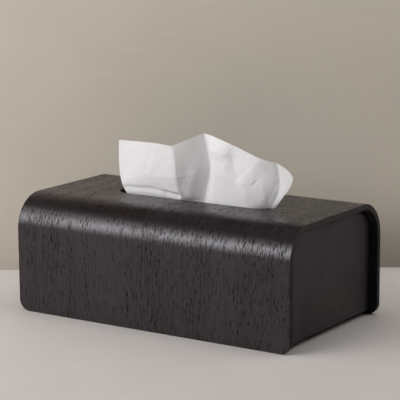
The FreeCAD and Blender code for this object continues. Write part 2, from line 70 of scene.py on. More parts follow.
class Finish:
    """A material's nodes written as expressions: each call adds one node and returns its output."""

    def __init__(self, name):
        self.material = bpy.data.materials.new(name)
        self.material.use_nodes = True
        self.nodes = self.material.node_tree.nodes
        self.links = self.material.node_tree.links
        self.shader = self.nodes["Principled BSDF"]
        # a place in the frame of the piece, in millimetres
        place = self.node("ShaderNodeTexCoord").outputs["Object"]
        self.x, self.y, self.z = self.parts(self.vector_math("SCALE", place, Scale=1 / MM))

    def feed(self, socket, value):
        if isinstance(value, bpy.types.NodeSocket):
            self.links.new(value, socket)
        else:
            socket.default_value = value

    def node(self, kind, settings=None, **inputs):
        made = self.nodes.new(kind)
        for name, value in (settings or {}).items():
            setattr(made, name, value)
        for name, value in inputs.items():
            self.feed(made.inputs[name], value)
        return made

    def math(self, operation, a, b=None, c=None):
        made = self.node("ShaderNodeMath", {"operation": operation})
        for socket, value in zip(made.inputs, (a, b, c)):
            if value is not None:
                self.feed(socket, value)
        return made.outputs[0]

    def plus(self, a, b):
        return self.math("ADD", a, b)

    def minus(self, a, b):
        return self.math("SUBTRACT", a, b)

    def times(self, a, b):
        return self.math("MULTIPLY", a, b)

    def times_plus(self, a, b, c):
        return self.math("MULTIPLY_ADD", a, b, c)

    def over(self, a, b):
        return self.math("DIVIDE", a, b)

    def most(self, a, b):
        return self.math("MAXIMUM", a, b)

    def least(self, a, b):
        return self.math("MINIMUM", a, b)

    def size(self, a):
        return self.math("ABSOLUTE", a)

    def vector_math(self, operation, a, **inputs):
        made = self.node("ShaderNodeVectorMath", {"operation": operation}, **inputs)
        self.feed(made.inputs[0], a)
        return made.outputs[0]

    def parts(self, vector):
        made = self.node("ShaderNodeSeparateXYZ", Vector=vector)
        return [made.outputs[axis] for axis in "XYZ"]

    def vector(self, x, y, z=0.0):
        return self.node("ShaderNodeCombineXYZ", X=x, Y=y, Z=z).outputs[0]

    def stretched(self, x, y, z, per_x, per_y, per_z=0.0):
        """A place whose unit is per_x mm along x, and so on."""
        pairs = ((x, per_x), (y, per_y), (z, per_z))
        return self.vector(*(self.over(value, per) if per else 0.0 for value, per in pairs))

    def noise(self, place, detail=2.0, roughness=0.5, distortion=0.0):
        return self.node(
            "ShaderNodeTexNoise",
            Vector=place,
            Scale=1.0,
            Detail=detail,
            Roughness=roughness,
            Distortion=distortion,
        ).outputs["Fac"]

    def luck(self, seed):
        """A number from 0 to 1 that belongs to the seed."""
        made = self.node("ShaderNodeTexWhiteNoise", {"noise_dimensions": "1D"}, W=seed)
        return made.outputs["Value"]

    def within(self, distance, half):
        """1 where distance is less than half, 0 beyond it, with a soft edge."""
        return self.ramp(self.minus(distance, half), -PORE_EDGE, PORE_EDGE, 1.0, 0.0)

    def in_lanes(self, across, pitch):
        """The number of the lane that a place is in, and how far across the lane it is, 0 to 1."""
        count = self.over(across, pitch)
        lane = self.math("FLOOR", count)
        return lane, self.minus(count, lane)

    def dashes(self, across, along, pitch, width, length, seed, limit):
        """Thin straight pores in lanes, each lane with its own place, width and breaks."""
        lane, in_lane = self.in_lanes(across, pitch)
        own = self.luck(self.plus(lane, seed))
        middle = self.times_plus(own, 0.5, 0.25)
        aside = self.times(self.size(self.minus(in_lane, middle)), pitch)
        share = self.ramp(self.luck(self.plus(lane, seed + 0.5)), 0, 1, 0.6, 1.0)
        half = self.times(share, width / 2)
        # odd steps from lane to lane keep neighbours from breaking at the same place
        run = self.times_plus(own, 173.0, self.over(along, length))
        beat = self.noise(self.vector(run, self.times(lane, 3.71), seed), 1.0, 0.6)
        on = self.ramp(self.minus(beat, limit), 0.0, 0.05)
        return self.times(on, self.within(aside, half))

    def ticks(self, across, along, pitch, width, length, seed, share):
        """Short straight pores strewn about, in a share of the cells of pitch by length."""
        lane, in_lane = self.in_lanes(across, pitch)
        start = self.times(self.luck(self.plus(lane, seed)), 7.0)
        run = self.plus(self.over(along, length), start)
        cell = self.math("FLOOR", run)
        number = self.times_plus(lane, 13.37, self.times_plus(cell, 1.713, seed))
        middle = self.times_plus(self.luck(number), 0.64, 0.18)
        aside = self.times(self.size(self.minus(in_lane, middle)), pitch)
        beyond = self.size(self.minus(self.minus(run, cell), 0.5))
        reach = self.times_plus(self.luck(self.plus(number, 0.5)), 0.28, 0.16)
        on = self.ramp(self.minus(beyond, reach), 0.0, 0.06, 1.0, 0.0)
        turn = self.minus(self.luck(self.plus(number, 0.25)), share)
        kept = self.ramp(turn, 0.0, 0.05, 1.0, 0.0)
        return self.times(self.times(on, self.within(aside, width / 2)), kept)

    def ramp(self, value, low, high, to_low=0.0, to_high=1.0):
        """value from low to high becomes to_low to to_high, smoothly and no further."""
        made = self.node("ShaderNodeMapRange", {"interpolation_type": "SMOOTHSTEP"})
        for socket, number in zip(made.inputs, (value, low, high, to_low, to_high)):
            self.feed(socket, number)
        return made.outputs["Result"]

    def mix(self, share, a, b):
        # sockets 6 and 7, and 2 of the outputs, are the node's colour ones
        made = self.node("ShaderNodeMix", {"data_type": "RGBA"})
        self.feed(made.inputs["Factor"], share)
        self.feed(made.inputs[6], a)
        self.feed(made.inputs[7], b)
        return made.outputs[2]

    def darken(self, colour, factor):
        """The colour times a grey factor."""
        colour = colour[:3] if isinstance(colour, tuple) else colour
        return self.vector_math("SCALE", colour, Scale=factor)

    def bump(self, height, depth_mm, normal=None):
        made = self.node("ShaderNodeBump", Height=height, Distance=depth_mm * MM, Strength=1.0)
        if normal is not None:
            self.feed(made.inputs["Normal"], normal)
        return made.outputs[0]

    def blend(self, shader, share):
        """Shows the share of another shader's output in place of the material's own."""
        both = self.node("ShaderNodeMixShader", Fac=share)
        self.links.new(self.shader.outputs[0], both.inputs[1])
        self.links.new(shader.outputs[0], both.inputs[2])
        self.links.new(both.outputs[0], self.nodes["Material Output"].inputs["Surface"])

    def finish(self, **sockets):
        for name, value in sockets.items():
            self.feed(self.shader.inputs[name.replace("_", " ")], value)
        return self.material


def linear(r, g, b):
    """The shader's colour for one written as 8-bit sRGB."""
    levels = (c / 3294.6 if c <= 10 else ((c / 255 + 0.055) / 1.055) ** 2.4 for c in (r, g, b))
    return (*levels, 1.0)


# The case, in mm. The centre line of its bend is 46 mm from the middle and 71 mm up.
BEND_RADIUS, BEND_Y, BEND_Z = 29.0, 46.0, 71.0
TOP_ARC = BEND_Z + BEND_RADIUS * math.pi / 2 + BEND_Y
INNER_SKIN = (24.2, 24.8)  # radii between which the look goes over from the inside to the outside
PLY = 1.0
# the cut ends growing paler with height is painted light, with painted shade low down
END_GRAIN_LOW, END_GRAIN_HIGH = 62, 92  # heights between which the cut ends grow paler
RIM = (133.8, 134.5)  # from the middle, lengthwise: where the rim beside the cut ends begins
# the panel's tone by height: painted shade at its foot, painted light towards its top
PANEL_HEIGHTS, PANEL_LIGHT_TONES = (10, 92), (0.5, 1.7)

OAK, OAK_PORE, OAK_INSIDE_SHADED = linear(30, 21, 21), linear(4, 3, 3), linear(10, 9, 8)
# the cut ends' colours low down, with painted shade, and high up, with painted light
OAK_END_SHADED, OAK_END_LIT = linear(14, 9, 13), linear(28, 23, 26)
OAK_RUBBED = linear(96, 88, 82)
PANEL_BLACK = linear(28, 15, 28)
CARCASE_LIGHT, CARCASE_DARK = linear(52, 47, 44), linear(30, 27, 25)
BEECH_LIGHT, BEECH_DARK = linear(206, 172, 134), linear(176, 138, 99)
ZINC_DARK, ZINC_LIGHT = linear(176, 174, 168), linear(205, 203, 196)
TISSUE_WHITE, TISSUE_THROUGH = linear(241, 239, 241), linear(238, 236, 233)
TABLE_PAINT, WALL_PAINT = linear(212, 205, 201), linear(217, 208, 194)
LACQUER_IOR = 1.5
WOOD_RELIEF = 0.06  # mm

# The oak's pores, in mm: lanes pitch apart, and the width and length of a pore.
BOLD_PORES = {"pitch": 1.5, "width": 0.48, "length": 9.0, "seed": 11.0}
DEEP_PORES = {"pitch": 2.3, "width": 0.62, "length": 6.0, "seed": 97.0}
FINE_PORES = {"pitch": 1.2, "width": 0.36, "length": 4.0, "seed": 37.0}
LONG_PORES = {"pitch": 2.9, "width": 0.26, "length": 26.0, "seed": 71.0}
CLOSE, OPEN = 0.36, 0.64  # the pattern's values where the pores are fewest and where they are most


def veneer():
    """Black-stained open-pore oak whose grain runs up the case's walls and over its top."""
    f = Finish("black_oak_veneer")
    side = f.size(f.y)
    out = f.most(f.minus(side, BEND_Y), 0.0)
    up = f.most(f.minus(f.z, BEND_Z), 0.0)
    angle = f.math("ARCTAN2", up, out)
    reach = f.math("SQRT", f.plus(f.times(out, out), f.times(up, up)))
    on_wall = f.least(f.z, BEND_Z)
    on_top = f.most(f.minus(BEND_Y, side), 0.0)
    run = f.plus(f.times_plus(angle, BEND_RADIUS, on_wall), on_top)
    along = f.times(f.minus(TOP_ARC, run), f.math("SIGN", f.y))
    depth = f.minus(BEND_RADIUS, reach)

    wander = f.noise(f.stretched(f.x, along, 0, 60, 190), 1)
    across = f.times_plus(wander, 2.4, f.x)

    # bands of close and open pores, as a slice through the year rings shows them
    bands = f.noise(f.stretched(across, along, 0, 9, 160), 2, 0.6)
    wide = f.noise(f.stretched(across, along, 0, 34, 260), 1)
    closeness = f.times_plus(wide, 0.5, f.times(bands, 0.5))
    limit = f.ramp(closeness, CLOSE, OPEN, 0.64, 0.46)

    bold = f.ticks(across, along, share=f.ramp(closeness, CLOSE, OPEN, 0.16, 0.46), **BOLD_PORES)
    deep = f.ticks(across, along, share=f.ramp(closeness, CLOSE, OPEN, 0.03, 0.15), **DEEP_PORES)
    fine = f.dashes(across, along, limit=limit, **FINE_PORES)
    long = f.dashes(across, along, limit=limit, **LONG_PORES)
    small = f.most(fine, long)
    pores = f.most(f.most(bold, deep), small)

    fibres = f.noise(f.stretched(across, along, 0, 0.35, 14), 2, 0.6)
    streaks = f.noise(f.stretched(across, along, 0, 2.6, 120), 3, 0.6)
    undulation = f.noise(f.stretched(across, along, 0, 2.8, 15), 2, 0.6)

    tone = f.ramp(streaks, 0.3, 0.7, 0.90, 1.10)
    tone = f.times(tone, f.ramp(fibres, 0.3, 0.7, 0.94, 1.06))
    face = f.darken(OAK, tone)
    stained = f.most(f.times(bold, 0.42), f.times(small, 0.22))
    stained = f.most(stained, f.times(deep, 0.7))
    face = f.mix(stained, face, OAK_PORE)
    # darker on the inside faces of the case: partly a darker inside, partly painted shade of its
    # hollow
    inner = f.ramp(reach, *INNER_SKIN, 1.0, 0.0)
    face = f.mix(inner, face, OAK_INSIDE_SHADED)

    # the cut ends show the plies' edges, darker on the upright parts by painted shade and paler
    # towards the top by painted light
    high = f.ramp(f.z, END_GRAIN_LOW, END_GRAIN_HIGH)
    facing = f.node("ShaderNodeNewGeometry").outputs["True Normal"]
    turned = f.node("ShaderNodeVectorTransform", {"vector_type": "NORMAL"}, Vector=facing)
    lengthwise, _, _ = f.parts(turned.outputs[0])
    cut = f.ramp(f.size(lengthwise), 0.8, 0.95)
    plies = f.math("PINGPONG", depth, PLY)
    ply_grain = f.noise(f.stretched(run, depth, f.x, 1.2, 0.25, 9), 2)
    edge_tone = f.ramp(plies, 0.3, 0.7, 0.85, 1.1)
    edge_tone = f.times(edge_tone, f.ramp(ply_grain, 0.3, 0.7, 0.85, 1.12))
    end = f.darken(f.mix(high, OAK_END_SHADED, OAK_END_LIT), edge_tone)
    colour = f.mix(cut, face, end)

    # rubbed a little along the open edges
    rim = f.ramp(f.size(f.x), *RIM)
    worn = f.times(rim, f.noise(f.stretched(run, f.x, 0, 9, 3), 2))
    colour = f.mix(f.times(worn, 0.03), colour, OAK_RUBBED)

    open_face = f.minus(1.0, cut)
    relief = f.times(pores, open_face)
    # a pore is a dark hollow that returns no gloss; the low cut ends return less gloss too, as
    # painted shade
    pits_and_end_shade = f.times(f.most(deep, f.times(pores, 0.6)), open_face)
    pits_and_end_shade = f.most(pits_and_end_shade, f.times(cut, f.ramp(f.z, END_GRAIN_LOW, END_GRAIN_HIGH, 0.4, 0.0)))
    normal = f.bump(f.minus(1.0, relief), 0.07)
    normal = f.bump(fibres, 0.02, normal)
    normal = f.bump(undulation, 0.035, normal)
    rough = f.ramp(fibres, 0.25, 0.75, 0.25, 0.34)
    rough = f.most(rough, f.times(relief, 0.6))
    rough = f.most(rough, f.times(inner, 0.8))
    rough = f.most(rough, f.times(f.most(cut, rim), 0.55))
    return f.finish(
        Base_Color=colour,
        Roughness=rough,
        Normal=normal,
        Metallic=pits_and_end_shade,
        IOR=LACQUER_IOR,
        Specular_Tint=(0.95, 0.93, 1.0, 1.0),
    )


def smooth_panel():
    """Black-lacquered board: fine orange peel, a breath of grain, faint mottling."""
    f = Finish("black_panel")
    mottle = f.noise(f.stretched(f.y, f.z, f.x, 18, 26, 20), 3, 0.6)
    grain = f.noise(f.stretched(f.y, f.z, f.x, 0.8, 34, 0.8), 2)
    tone = f.ramp(mottle, 0.3, 0.7, 0.93, 1.07)
    tone = f.times(tone, f.ramp(grain, 0.3, 0.7, 0.95, 1.05))
    # darker at the foot and paler towards the top: painted shade at the foot and painted light
    # towards the top of the drawer's front
    tone = f.times(tone, f.ramp(f.z, *PANEL_HEIGHTS, *PANEL_LIGHT_TONES))
    colour = f.darken(PANEL_BLACK, tone)
    peel = f.noise(f.stretched(f.x, f.y, f.z, 1.6, 1.6, 1.6), 2)
    normal = f.bump(grain, 0.012, f.bump(peel, 0.02))
    rough = f.ramp(mottle, 0.3, 0.7, 0.46, 0.54)
    return f.finish(Base_Color=colour, Roughness=rough, Normal=normal, IOR=LACQUER_IOR)


def stained_wood(name, light, dark, length):
    """Plain timber or plywood whose grain runs along x, for the drawer and the runners."""
    f = Finish(name)
    wander = f.noise(f.stretched(f.x, f.y, f.z, 90, 30, 30), 2)
    side = f.times_plus(wander, 4.0, f.y)
    rise = f.times_plus(wander, 4.0, f.z)
    rings = f.noise(f.stretched(side, rise, f.x, 5, 5, length * 3), 3, 0.6)
    fibre = f.noise(f.stretched(side, rise, f.x, 0.5, 0.5, length * 0.3), 2)
    flecks = f.ramp(f.noise(f.stretched(side, rise, f.x, 0.5, 0.5, 3.5), 1), 0.62, 0.68)
    share = f.ramp(f.times_plus(fibre, 0.4, f.times(rings, 0.6)), 0.32, 0.66)
    colour = f.mix(share, light, dark)
    colour = f.mix(f.times(flecks, 0.45), colour, dark)
    normal = f.bump(fibre, WOOD_RELIEF, f.bump(f.minus(1.0, flecks), WOOD_RELIEF))
    rough = f.ramp(fibre, 0.3, 0.7, 0.5, 0.65)
    return f.finish(Base_Color=colour, Roughness=rough, Normal=normal, IOR=LACQUER_IOR)


def zinc():
    """Zinc plate with a fine spangle, turned underneath."""
    f = Finish("screw_steel")
    spangle = f.noise(f.stretched(f.x, f.y, f.z, 0.8, 0.8, 0.8), 2)
    turned = f.noise(f.stretched(f.x, f.y, f.z, 3, 3, 0.12), 2)
    colour = f.mix(f.ramp(spangle, 0.3, 0.7), ZINC_DARK, ZINC_LIGHT)
    return f.finish(
        Base_Color=colour,
        Metallic=1.0,
        Roughness=f.ramp(spangle, 0.3, 0.7, 0.30, 0.46),
        Normal=f.bump(turned, 0.01),
    )


def paper():
    """Soft two-ply tissue: fibres, fine creping across it, a little light passing through."""
    f = Finish("tissue")
    fibres = f.noise(f.stretched(f.x, f.y, f.z, 0.8, 0.8, 0.8), 4, 0.65)
    clouds = f.noise(f.stretched(f.x, f.y, f.z, 7, 7, 7), 3, 0.6)
    crepe = f.noise(f.stretched(f.x, f.y, f.z, 5, 5, 0.35), 2)
    tone = f.ramp(clouds, 0.3, 0.7, 0.97, 1.02)
    tone = f.times(tone, f.ramp(fibres, 0.3, 0.7, 0.98, 1.01))
    colour = f.darken(TISSUE_WHITE, tone)
    normal = f.bump(fibres, 0.06, f.bump(crepe, 0.05))
    body = f.finish(
        Base_Color=colour,
        Roughness=0.9,
        Normal=normal,
        Sheen_Weight=0.15,
        Specular_IOR_Level=0.25,
    )
    through = f.node("ShaderNodeBsdfTranslucent", Color=TISSUE_THROUGH, Normal=normal)
    f.blend(through, 0.2)
    return body


FINISHES = {
    "black_oak_veneer": veneer(),
    "black_panel": smooth_panel(),
    "black_carcase": stained_wood("black_carcase", CARCASE_LIGHT, CARCASE_DARK, length=60),
    "beech": stained_wood("beech", BEECH_LIGHT, BEECH_DARK, length=40),
    "screw_steel": zinc(),
    "tissue": paper(),
}
for part in frame["record"]["subparts"]:
    node = bpy.data.objects[part["node"]]
    for place in node.material_slots:
        place.material = FINISHES[part["material_slot"]]


# ---------------------------------------------------------------- the standing tissue

# Each fold runs up the sheet, from inside the slot, over its rim, to the free edge, through places
# in mm. The number before it is how sharp the fold is, from 0, a soft bend, to 1, a crease.
TISSUE_FOLDS = [
    # the broad left panel
    (1.0, [(-62, -11, 97), (-65, -14.4, 101), (-71, -11.5, 109),
           (-75.5, -8, 118), (-78.3, -4.5, 131), (-79.5, -2, 142.8)]),
    (0.1, [(-54, -12, 97), (-56, -14.9, 101), (-56, -15.4, 109),
           (-49, -14.2, 118), (-44, -12.8, 131), (-41, -10.8, 145)]),
    (0.0, [(-31, -12, 97), (-32, -14.9, 101), (-31, -15.6, 109),
           (-30, -15, 118), (-29.5, -14, 131), (-29, -12.4, 145)]),
    # back into the shaded pleat, steepest beside its valley
    (0.4, [(-8, -12, 97), (-8.4, -14.9, 101), (-9.5, -16, 109),
           (-11, -16.2, 118), (-12.8, -15.4, 131), (-16.5, -14.2, 144.2)]),
    (0.0, [(-4.5, -9, 97), (-4.8, -12, 101), (-6, -12.9, 109),
           (-7.5, -13.2, 118), (-9.5, -12.6, 131), (-11.5, -11, 147)]),
    (0.0, [(-1, -6, 97), (-1, -9.4, 101), (-1.6, -9.6, 109),
           (-2.5, -9.2, 118), (-4, -8.2, 131), (-4, -5.5, 150.3)]),
    (0.3, [(2.5, -4, 97), (2.4, -5.6, 101), (2.2, -5, 109),
           (2.6, -4.4, 118), (3.4, -2.6, 131), (0.6, 0.5, 153)]),
    (0.45, [(8, -0.5, 97), (8, 1.4, 101), (7.4, 3.8, 109),
            (8.4, 6.6, 117.4), (10, 6.4, 129.8), (4, 5, 154.4)]),
    # forward again to the panel under the peak, which leans out a little
    (0.0, [(14, -8, 97), (15, -9, 101), (17, -8.4, 109),
           (19.6, -9.4, 118), (19.6, -10.8, 131), (15, -1, 154.2)]),
    (0.0, [(29.5, -12, 97), (30, -12.8, 101), (31, -12.6, 109),
           (31.5, -13, 118), (31, -13.2, 131), (27, -6, 152.4)]),
    (0.0, [(43.5, -13.6, 97), (44, -14.3, 101), (44.5, -14.2, 109),
           (44, -14.2, 118), (38.5, -13.8, 131), (34, -7.6, 151)]),
    (0.4, [(56.5, -14.2, 97), (57.4, -15, 101), (57.2, -15.8, 109),
           (56, -15.5, 117.8), (46, -13, 130.8), (41, -9, 149.2)]),
    (0.2, [(62.5, -13.6, 97), (63.5, -14.6, 101), (63.8, -14.8, 109),
           (63, -14.4, 117.8), (61.2, -13.2, 130.6), (67.4, -10.6, 141.1)]),
    # the right end, gathered into two narrow pleats
    (0.4, [(67, -10, 97), (69, -13.3, 101), (70.8, -13.6, 109),
           (72.5, -13.2, 117.8), (72.2, -11, 130.6), (70.8, -9.8, 140)]),
    (0.0, [(71, -7.5, 97), (75, -11.2, 101.3), (78, -11, 109),
           (80.4, -10, 117.9), (79.8, -8.4, 129.7), (77.8, -7.6, 138.2)]),
    (0.5, [(73, -6, 97), (78.5, -9, 101.3), (82.8, -8.4, 109),
           (85.5, -7.2, 117.9), (83.7, -5.8, 128.7), (80.6, -5, 137.4)]),
    (0.0, [(74.6, -5, 97), (80.5, -8.6, 101.4), (85.8, -9, 109),
           (90.4, -8.4, 116.9), (91.4, -6.9, 126.7), (92.8, -6.2, 132.7)]),
    (1.0, [(75.8, -4, 97), (82.4, -8.2, 101.5), (87.4, -9, 108.5),
           (92.8, -8.8, 114.9), (96.4, -7.4, 121.3), (97.3, -6.7, 126.7)]),
]
# the tail inside the slot: two heights, and its length and depth as shares of those at the slot
TAIL_LOW, TAIL_HIGH = 58.5, 82.0
TAIL_SPREAD, TAIL_DEPTH = 0.96, 0.7

# Creases pressed into the sheet along lines of (x, z): how far forward in mm, the width of the
# slope on the left of the line as it runs, the width on its right, and the line.
TISSUE_CREASES = [
    # the lip over the slot's rim, and the fold that overhangs it
    (-1.2, 2.6, 3.4, [(-65, 105.2), (-38, 106.3), (-24, 105), (-10, 102.8)]),
    (-1.1, 2.2, 3.4, [(-22, 104.7), (-10, 102.8)]),
    (0.9, 15, 9, [(-66, 109.5), (-50, 116), (-12, 118.5)]),
    # a soft rib in the shaded pleat
    (1.0, 6, 8.5, [(0, 96), (0.9, 121)]),
    # the band along the upper edge and the hollow under it
    (2.2, 10, 7, [(15, 142.5), (30, 142), (37, 141)]),
    (-1.8, 15, 8, [(37, 140.5), (41.5, 137.5), (43.5, 132), (50, 124.5)]),
    (0.9, 12, 10, [(51.2, 124.9), (59.9, 128.3), (67, 138)]),
    # the gathered right end
    (-0.35, 3.5, 4, [(75.5, 100), (78.5, 110), (83, 122)]),
    # small dents and ribs
    (0.4, 1.3, 1.3, [(-10, 118.6), (-6, 119.2)]),
    (-0.35, 2, 2, [(-42, 131), (-43, 122)]),
    (0.3, 2, 2, [(-36, 132), (-37, 120)]),
    (-0.3, 2, 2, [(-29, 128), (-29, 119)]),
    (0.35, 1.2, 1.2, [(63, 122), (67, 119.5)]),
    (-0.35, 1.2, 1.2, [(64, 118), (67, 123)]),
    (-0.3, 1.2, 1.2, [(62, 118.5), (66, 121)]),
]
PRESSED_FROM = 100  # the height of the case's top, over which the sheet stands free
CREASE_FADE = 7  # mm past a crease's end where it has gone

# the sheet's small creases: half their length, their half width and their height, in mm
SMALL_CREASES, SMALL_CREASE_SEED = 60, 11
SMALL_CREASE_REACH = (8, 34)
SMALL_CREASE_WIDTH = (2.0, 6.0)
SMALL_CREASE_HEIGHT = (0.1, 0.4)
SMALL_CREASE_STRENGTH = 0.7


def grid_mesh(rows):
    """A sheet through a grid of points, all rows with the same count."""
    mesh = bmesh.new()
    points = [[mesh.verts.new(p) for p in row] for row in rows]
    for low, high in zip(points, points[1:]):
        for a, b, c, d in zip(low, low[1:], high[1:], high):
            mesh.faces.new((a, b, c, d))
    return mesh, points


def object_from(mesh, name):
    data = bpy.data.meshes.new(name)
    mesh.to_mesh(data)
    mesh.free()
    made = bpy.data.objects.new(name, data)
    bpy.context.scene.collection.objects.link(made)
    return made


def apply_modifiers(piece):
    """Gives the piece the mesh that its modifiers make of it."""
    bpy.context.view_layer.update()
    view = bpy.context.evaluated_depsgraph_get()
    data = bpy.data.meshes.new_from_object(piece.evaluated_get(view))
    piece.modifiers.clear()
    piece.data = data


def smooth_shade(piece):
    for polygon in piece.data.polygons:
        polygon.use_smooth = True


def along_line(line, x, z):
    """A place's distance from a run of lines, positive on its left, and how far past an end."""
    best = None
    for (x0, z0), (x1, z1) in zip(line, line[1:]):
        dx, dz = x1 - x0, z1 - z0
        length = math.hypot(dx, dz)
        t = ((x - x0) * dx + (z - z0) * dz) / length
        before = -t if (x0, z0) == line[0] else 0
        after = t - length if (x1, z1) == line[-1] else 0
        past = max(before, after, 0)
        t = min(max(t, 0), length)
        aside = math.hypot(x - x0 - dx * t / length, z - z0 - dz * t / length)
        if best is None or aside < best[0]:
            leftward = dx * (z - z0) - dz * (x - x0)
            best = (aside, math.copysign(aside, leftward), past)
    return best[1], best[2]


def press(piece, creases):
    """Moves the sheet forward along each crease, by a tent that fades past the crease's ends."""
    for vertex in piece.data.vertices:
        x, _, z = vertex.co / MM
        if z < PRESSED_FROM:
            continue
        for forward, left, right, line in creases:
            aside, past = along_line(line, x, z)
            width = left if aside > 0 else right
            fade = max(0.0, 1 - past / CREASE_FADE)
            if abs(aside) < width and fade > 0:
                vertex.co.y -= forward * MM * (1 - abs(aside) / width) * fade


def crumple(piece):
    """Small straight creases at random, each a low tent that fades at its ends."""
    chance = random.Random(SMALL_CREASE_SEED)
    points = [v.co.copy() for v in piece.data.vertices]
    normals = [n.vector.copy() for n in piece.data.vertex_normals]
    shift = [0.0] * len(points)
    for _ in range(SMALL_CREASES):
        centre = points[chance.randrange(len(points))]
        along = Vector((chance.uniform(-1, 1), chance.uniform(-0.2, 0.2), chance.uniform(-1, 1)))
        along.normalize()
        length = chance.uniform(*SMALL_CREASE_REACH) * MM
        width = chance.uniform(*SMALL_CREASE_WIDTH) * MM
        height = chance.choice((-1, 1)) * chance.uniform(*SMALL_CREASE_HEIGHT) * MM
        height *= SMALL_CREASE_STRENGTH
        for i, p in enumerate(points):
            offset = p - centre
            run = offset.dot(along)
            if abs(run) > length:
                continue
            aside = (offset - along * run).length
            if aside < width:
                shift[i] += height * (1 - aside / width) * (1 - (run / length) ** 2) ** 2
    for vertex, n, s in zip(piece.data.vertices, normals, shift):
        vertex.co += n * s


def standing_tissue():
    """The sheet in the slot: a smoothed grid through its folds, then its creases."""
    lines = [line for _, line in TISSUE_FOLDS]
    rows = []
    for level in (TAIL_LOW, TAIL_HIGH):
        tail = ((line[0][0] * TAIL_SPREAD, line[0][1] * TAIL_DEPTH, level) for line in lines)
        rows.append([Vector(place) * MM for place in tail])
    rows += [[Vector(place) * MM for place in across] for across in zip(*lines)]
    mesh, points = grid_mesh(rows)
    crease = mesh.edges.layers.float.new("crease_edge")
    for column, (sharp, _) in enumerate(TISSUE_FOLDS):
        for low, high in zip(points, points[1:]):
            mesh.edges.get((low[column], high[column]))[crease] = sharp
    piece = object_from(mesh, "standing_tissue")
    smoothing = piece.modifiers.new("Subdivision", "SUBSURF")
    smoothing.levels = 4
    smoothing.boundary_smooth = "PRESERVE_CORNERS"
    apply_modifiers(piece)
    press(piece, TISSUE_CREASES)
    crumple(piece)
    smooth_shade(piece)
    piece.data.materials.append(FINISHES["tissue"])
    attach(piece, "case")
    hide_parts("popup_tissue")


standing_tissue()


# ---------------------------------------------------------------- the stack in the drawer

STACK_LOW, STACK_HIGH = (-97.2, -55.7, 13.1), (114.2, 55.7, 54.6)
STACK_MIDDLE_X, STACK_HALF_LENGTH, STACK_HALF_WIDTH = 8.5, 106, 56
STACK_LAYERS, STACK_SEED = 34, 5
STACK_RISE = 3.6  # how much of the height the top sheet's folds take
STACK_CORNER = 2.0
POINTS_PER_SIDE = 44
# one layer's edge: shares of its thickness, and how far in the edge is drawn there, in mm
LAYER_EDGE = ((0.08, 0.9), (0.5, 0.0), (0.92, 0.9))


def stack_outline(chance):
    """One folded sheet's outline: a rectangle that wanders a little, with soft corners."""
    x0, y0, _ = STACK_LOW
    x1, y1, _ = STACK_HIGH
    inset = [chance.uniform(0.1, 1.1) for _ in range(4)]
    phase = [chance.uniform(0, math.tau) for _ in range(4)]
    points = []
    for side in range(4):
        for step in range(POINTS_PER_SIDE):
            t = step / POINTS_PER_SIDE
            wave = 0.25 * math.sin(phase[side] + t * 9) + 0.15 * math.sin(phase[side] * 2 + t * 23)
            corner = STACK_CORNER * max(0.0, 1 - min(t, 1 - t) * POINTS_PER_SIDE / 2) ** 2
            edge = inset[side] + 0.4 + wave + corner
            if side == 0:
                points.append((x0 + (x1 - x0) * t, y0 + edge))
            elif side == 1:
                points.append((x1 - edge, y0 + (y1 - y0) * t))
            elif side == 2:
                points.append((x1 - (x1 - x0) * t, y1 - edge))
            else:
                points.append((x0 + edge, y1 - (y1 - y0) * t))
    return points


def stack_rise(x, y):
    """How far the top sheet lies above its edges, in mm, at a place on it."""
    x0, y0, _ = STACK_LOW
    x1, y1, _ = STACK_HIGH
    inside = min(x - x0, x1 - x, y - y0, y1 - y)
    crown = 1.3 * min(1.0, max(0.0, inside) / 22)
    # the free half of the top sheet ends just past the middle, and lifts a little along its edge
    edge = 6.5 + 1.6 * math.sin(x / 31) + 0.7 * math.sin(x / 11.3)
    half = 0.4 + 0.4 * math.tanh((edge - y) / 0.9)
    half += 0.7 * math.exp(-(((edge - y - 3.2) / 3.4) ** 2))
    # drawn up in the middle, where the standing tissue was pulled
    drawn = 1.1 + 0.35 * math.sin(x / 4.7) + 0.2 * math.sin(x / 2.1 + y / 3)
    drawn *= math.exp(-((x / 52) ** 2) - (((y + 4) / 9) ** 2))
    wrinkles = 0.16 * math.sin(x / 9 + y / 5.2) * math.sin(y / 13 - x / 41)
    wrinkles += 0.1 * math.sin(x / 3.9 - y / 7)
    # the two creases where the sheet was folded before it was laid with the others
    crease = -0.3 * math.exp(-(((y + 27) / 0.7) ** 2))
    crease -= 0.3 * math.exp(-(((x - STACK_MIDDLE_X) / 0.8) ** 2))
    fade = min(1.0, max(0.0, inside) / 4)
    return crown + (half + drawn + wrinkles + crease) * fade


def cover(mesh, ring, rise):
    """Closes a ring with a grid of its own, raised by stack_rise times rise."""
    n = POINTS_PER_SIDE
    grid = [[None] * (n + 1) for _ in range(n + 1)]
    for i in range(n):
        grid[i][0] = ring[i]
        grid[n][i] = ring[n + i]
        grid[n - i][n] = ring[2 * n + i]
        grid[0][n - i] = ring[3 * n + i]
    for i in range(1, n):
        for j in range(1, n):
            s, t = i / n, j / n
            across = grid[0][j].co.lerp(grid[n][j].co, s)
            along = grid[i][0].co.lerp(grid[i][n].co, t)
            place = Vector((across.x, along.y, ring[0].co.z))
            place.z += stack_rise(place.x / MM, place.y / MM) * rise * MM
            grid[i][j] = mesh.verts.new(place)
    for i in range(n):
        for j in range(n):
            corners = (grid[i][j], grid[i + 1][j], grid[i + 1][j + 1], grid[i][j + 1])
            mesh.faces.new(corners if rise else reversed(corners))


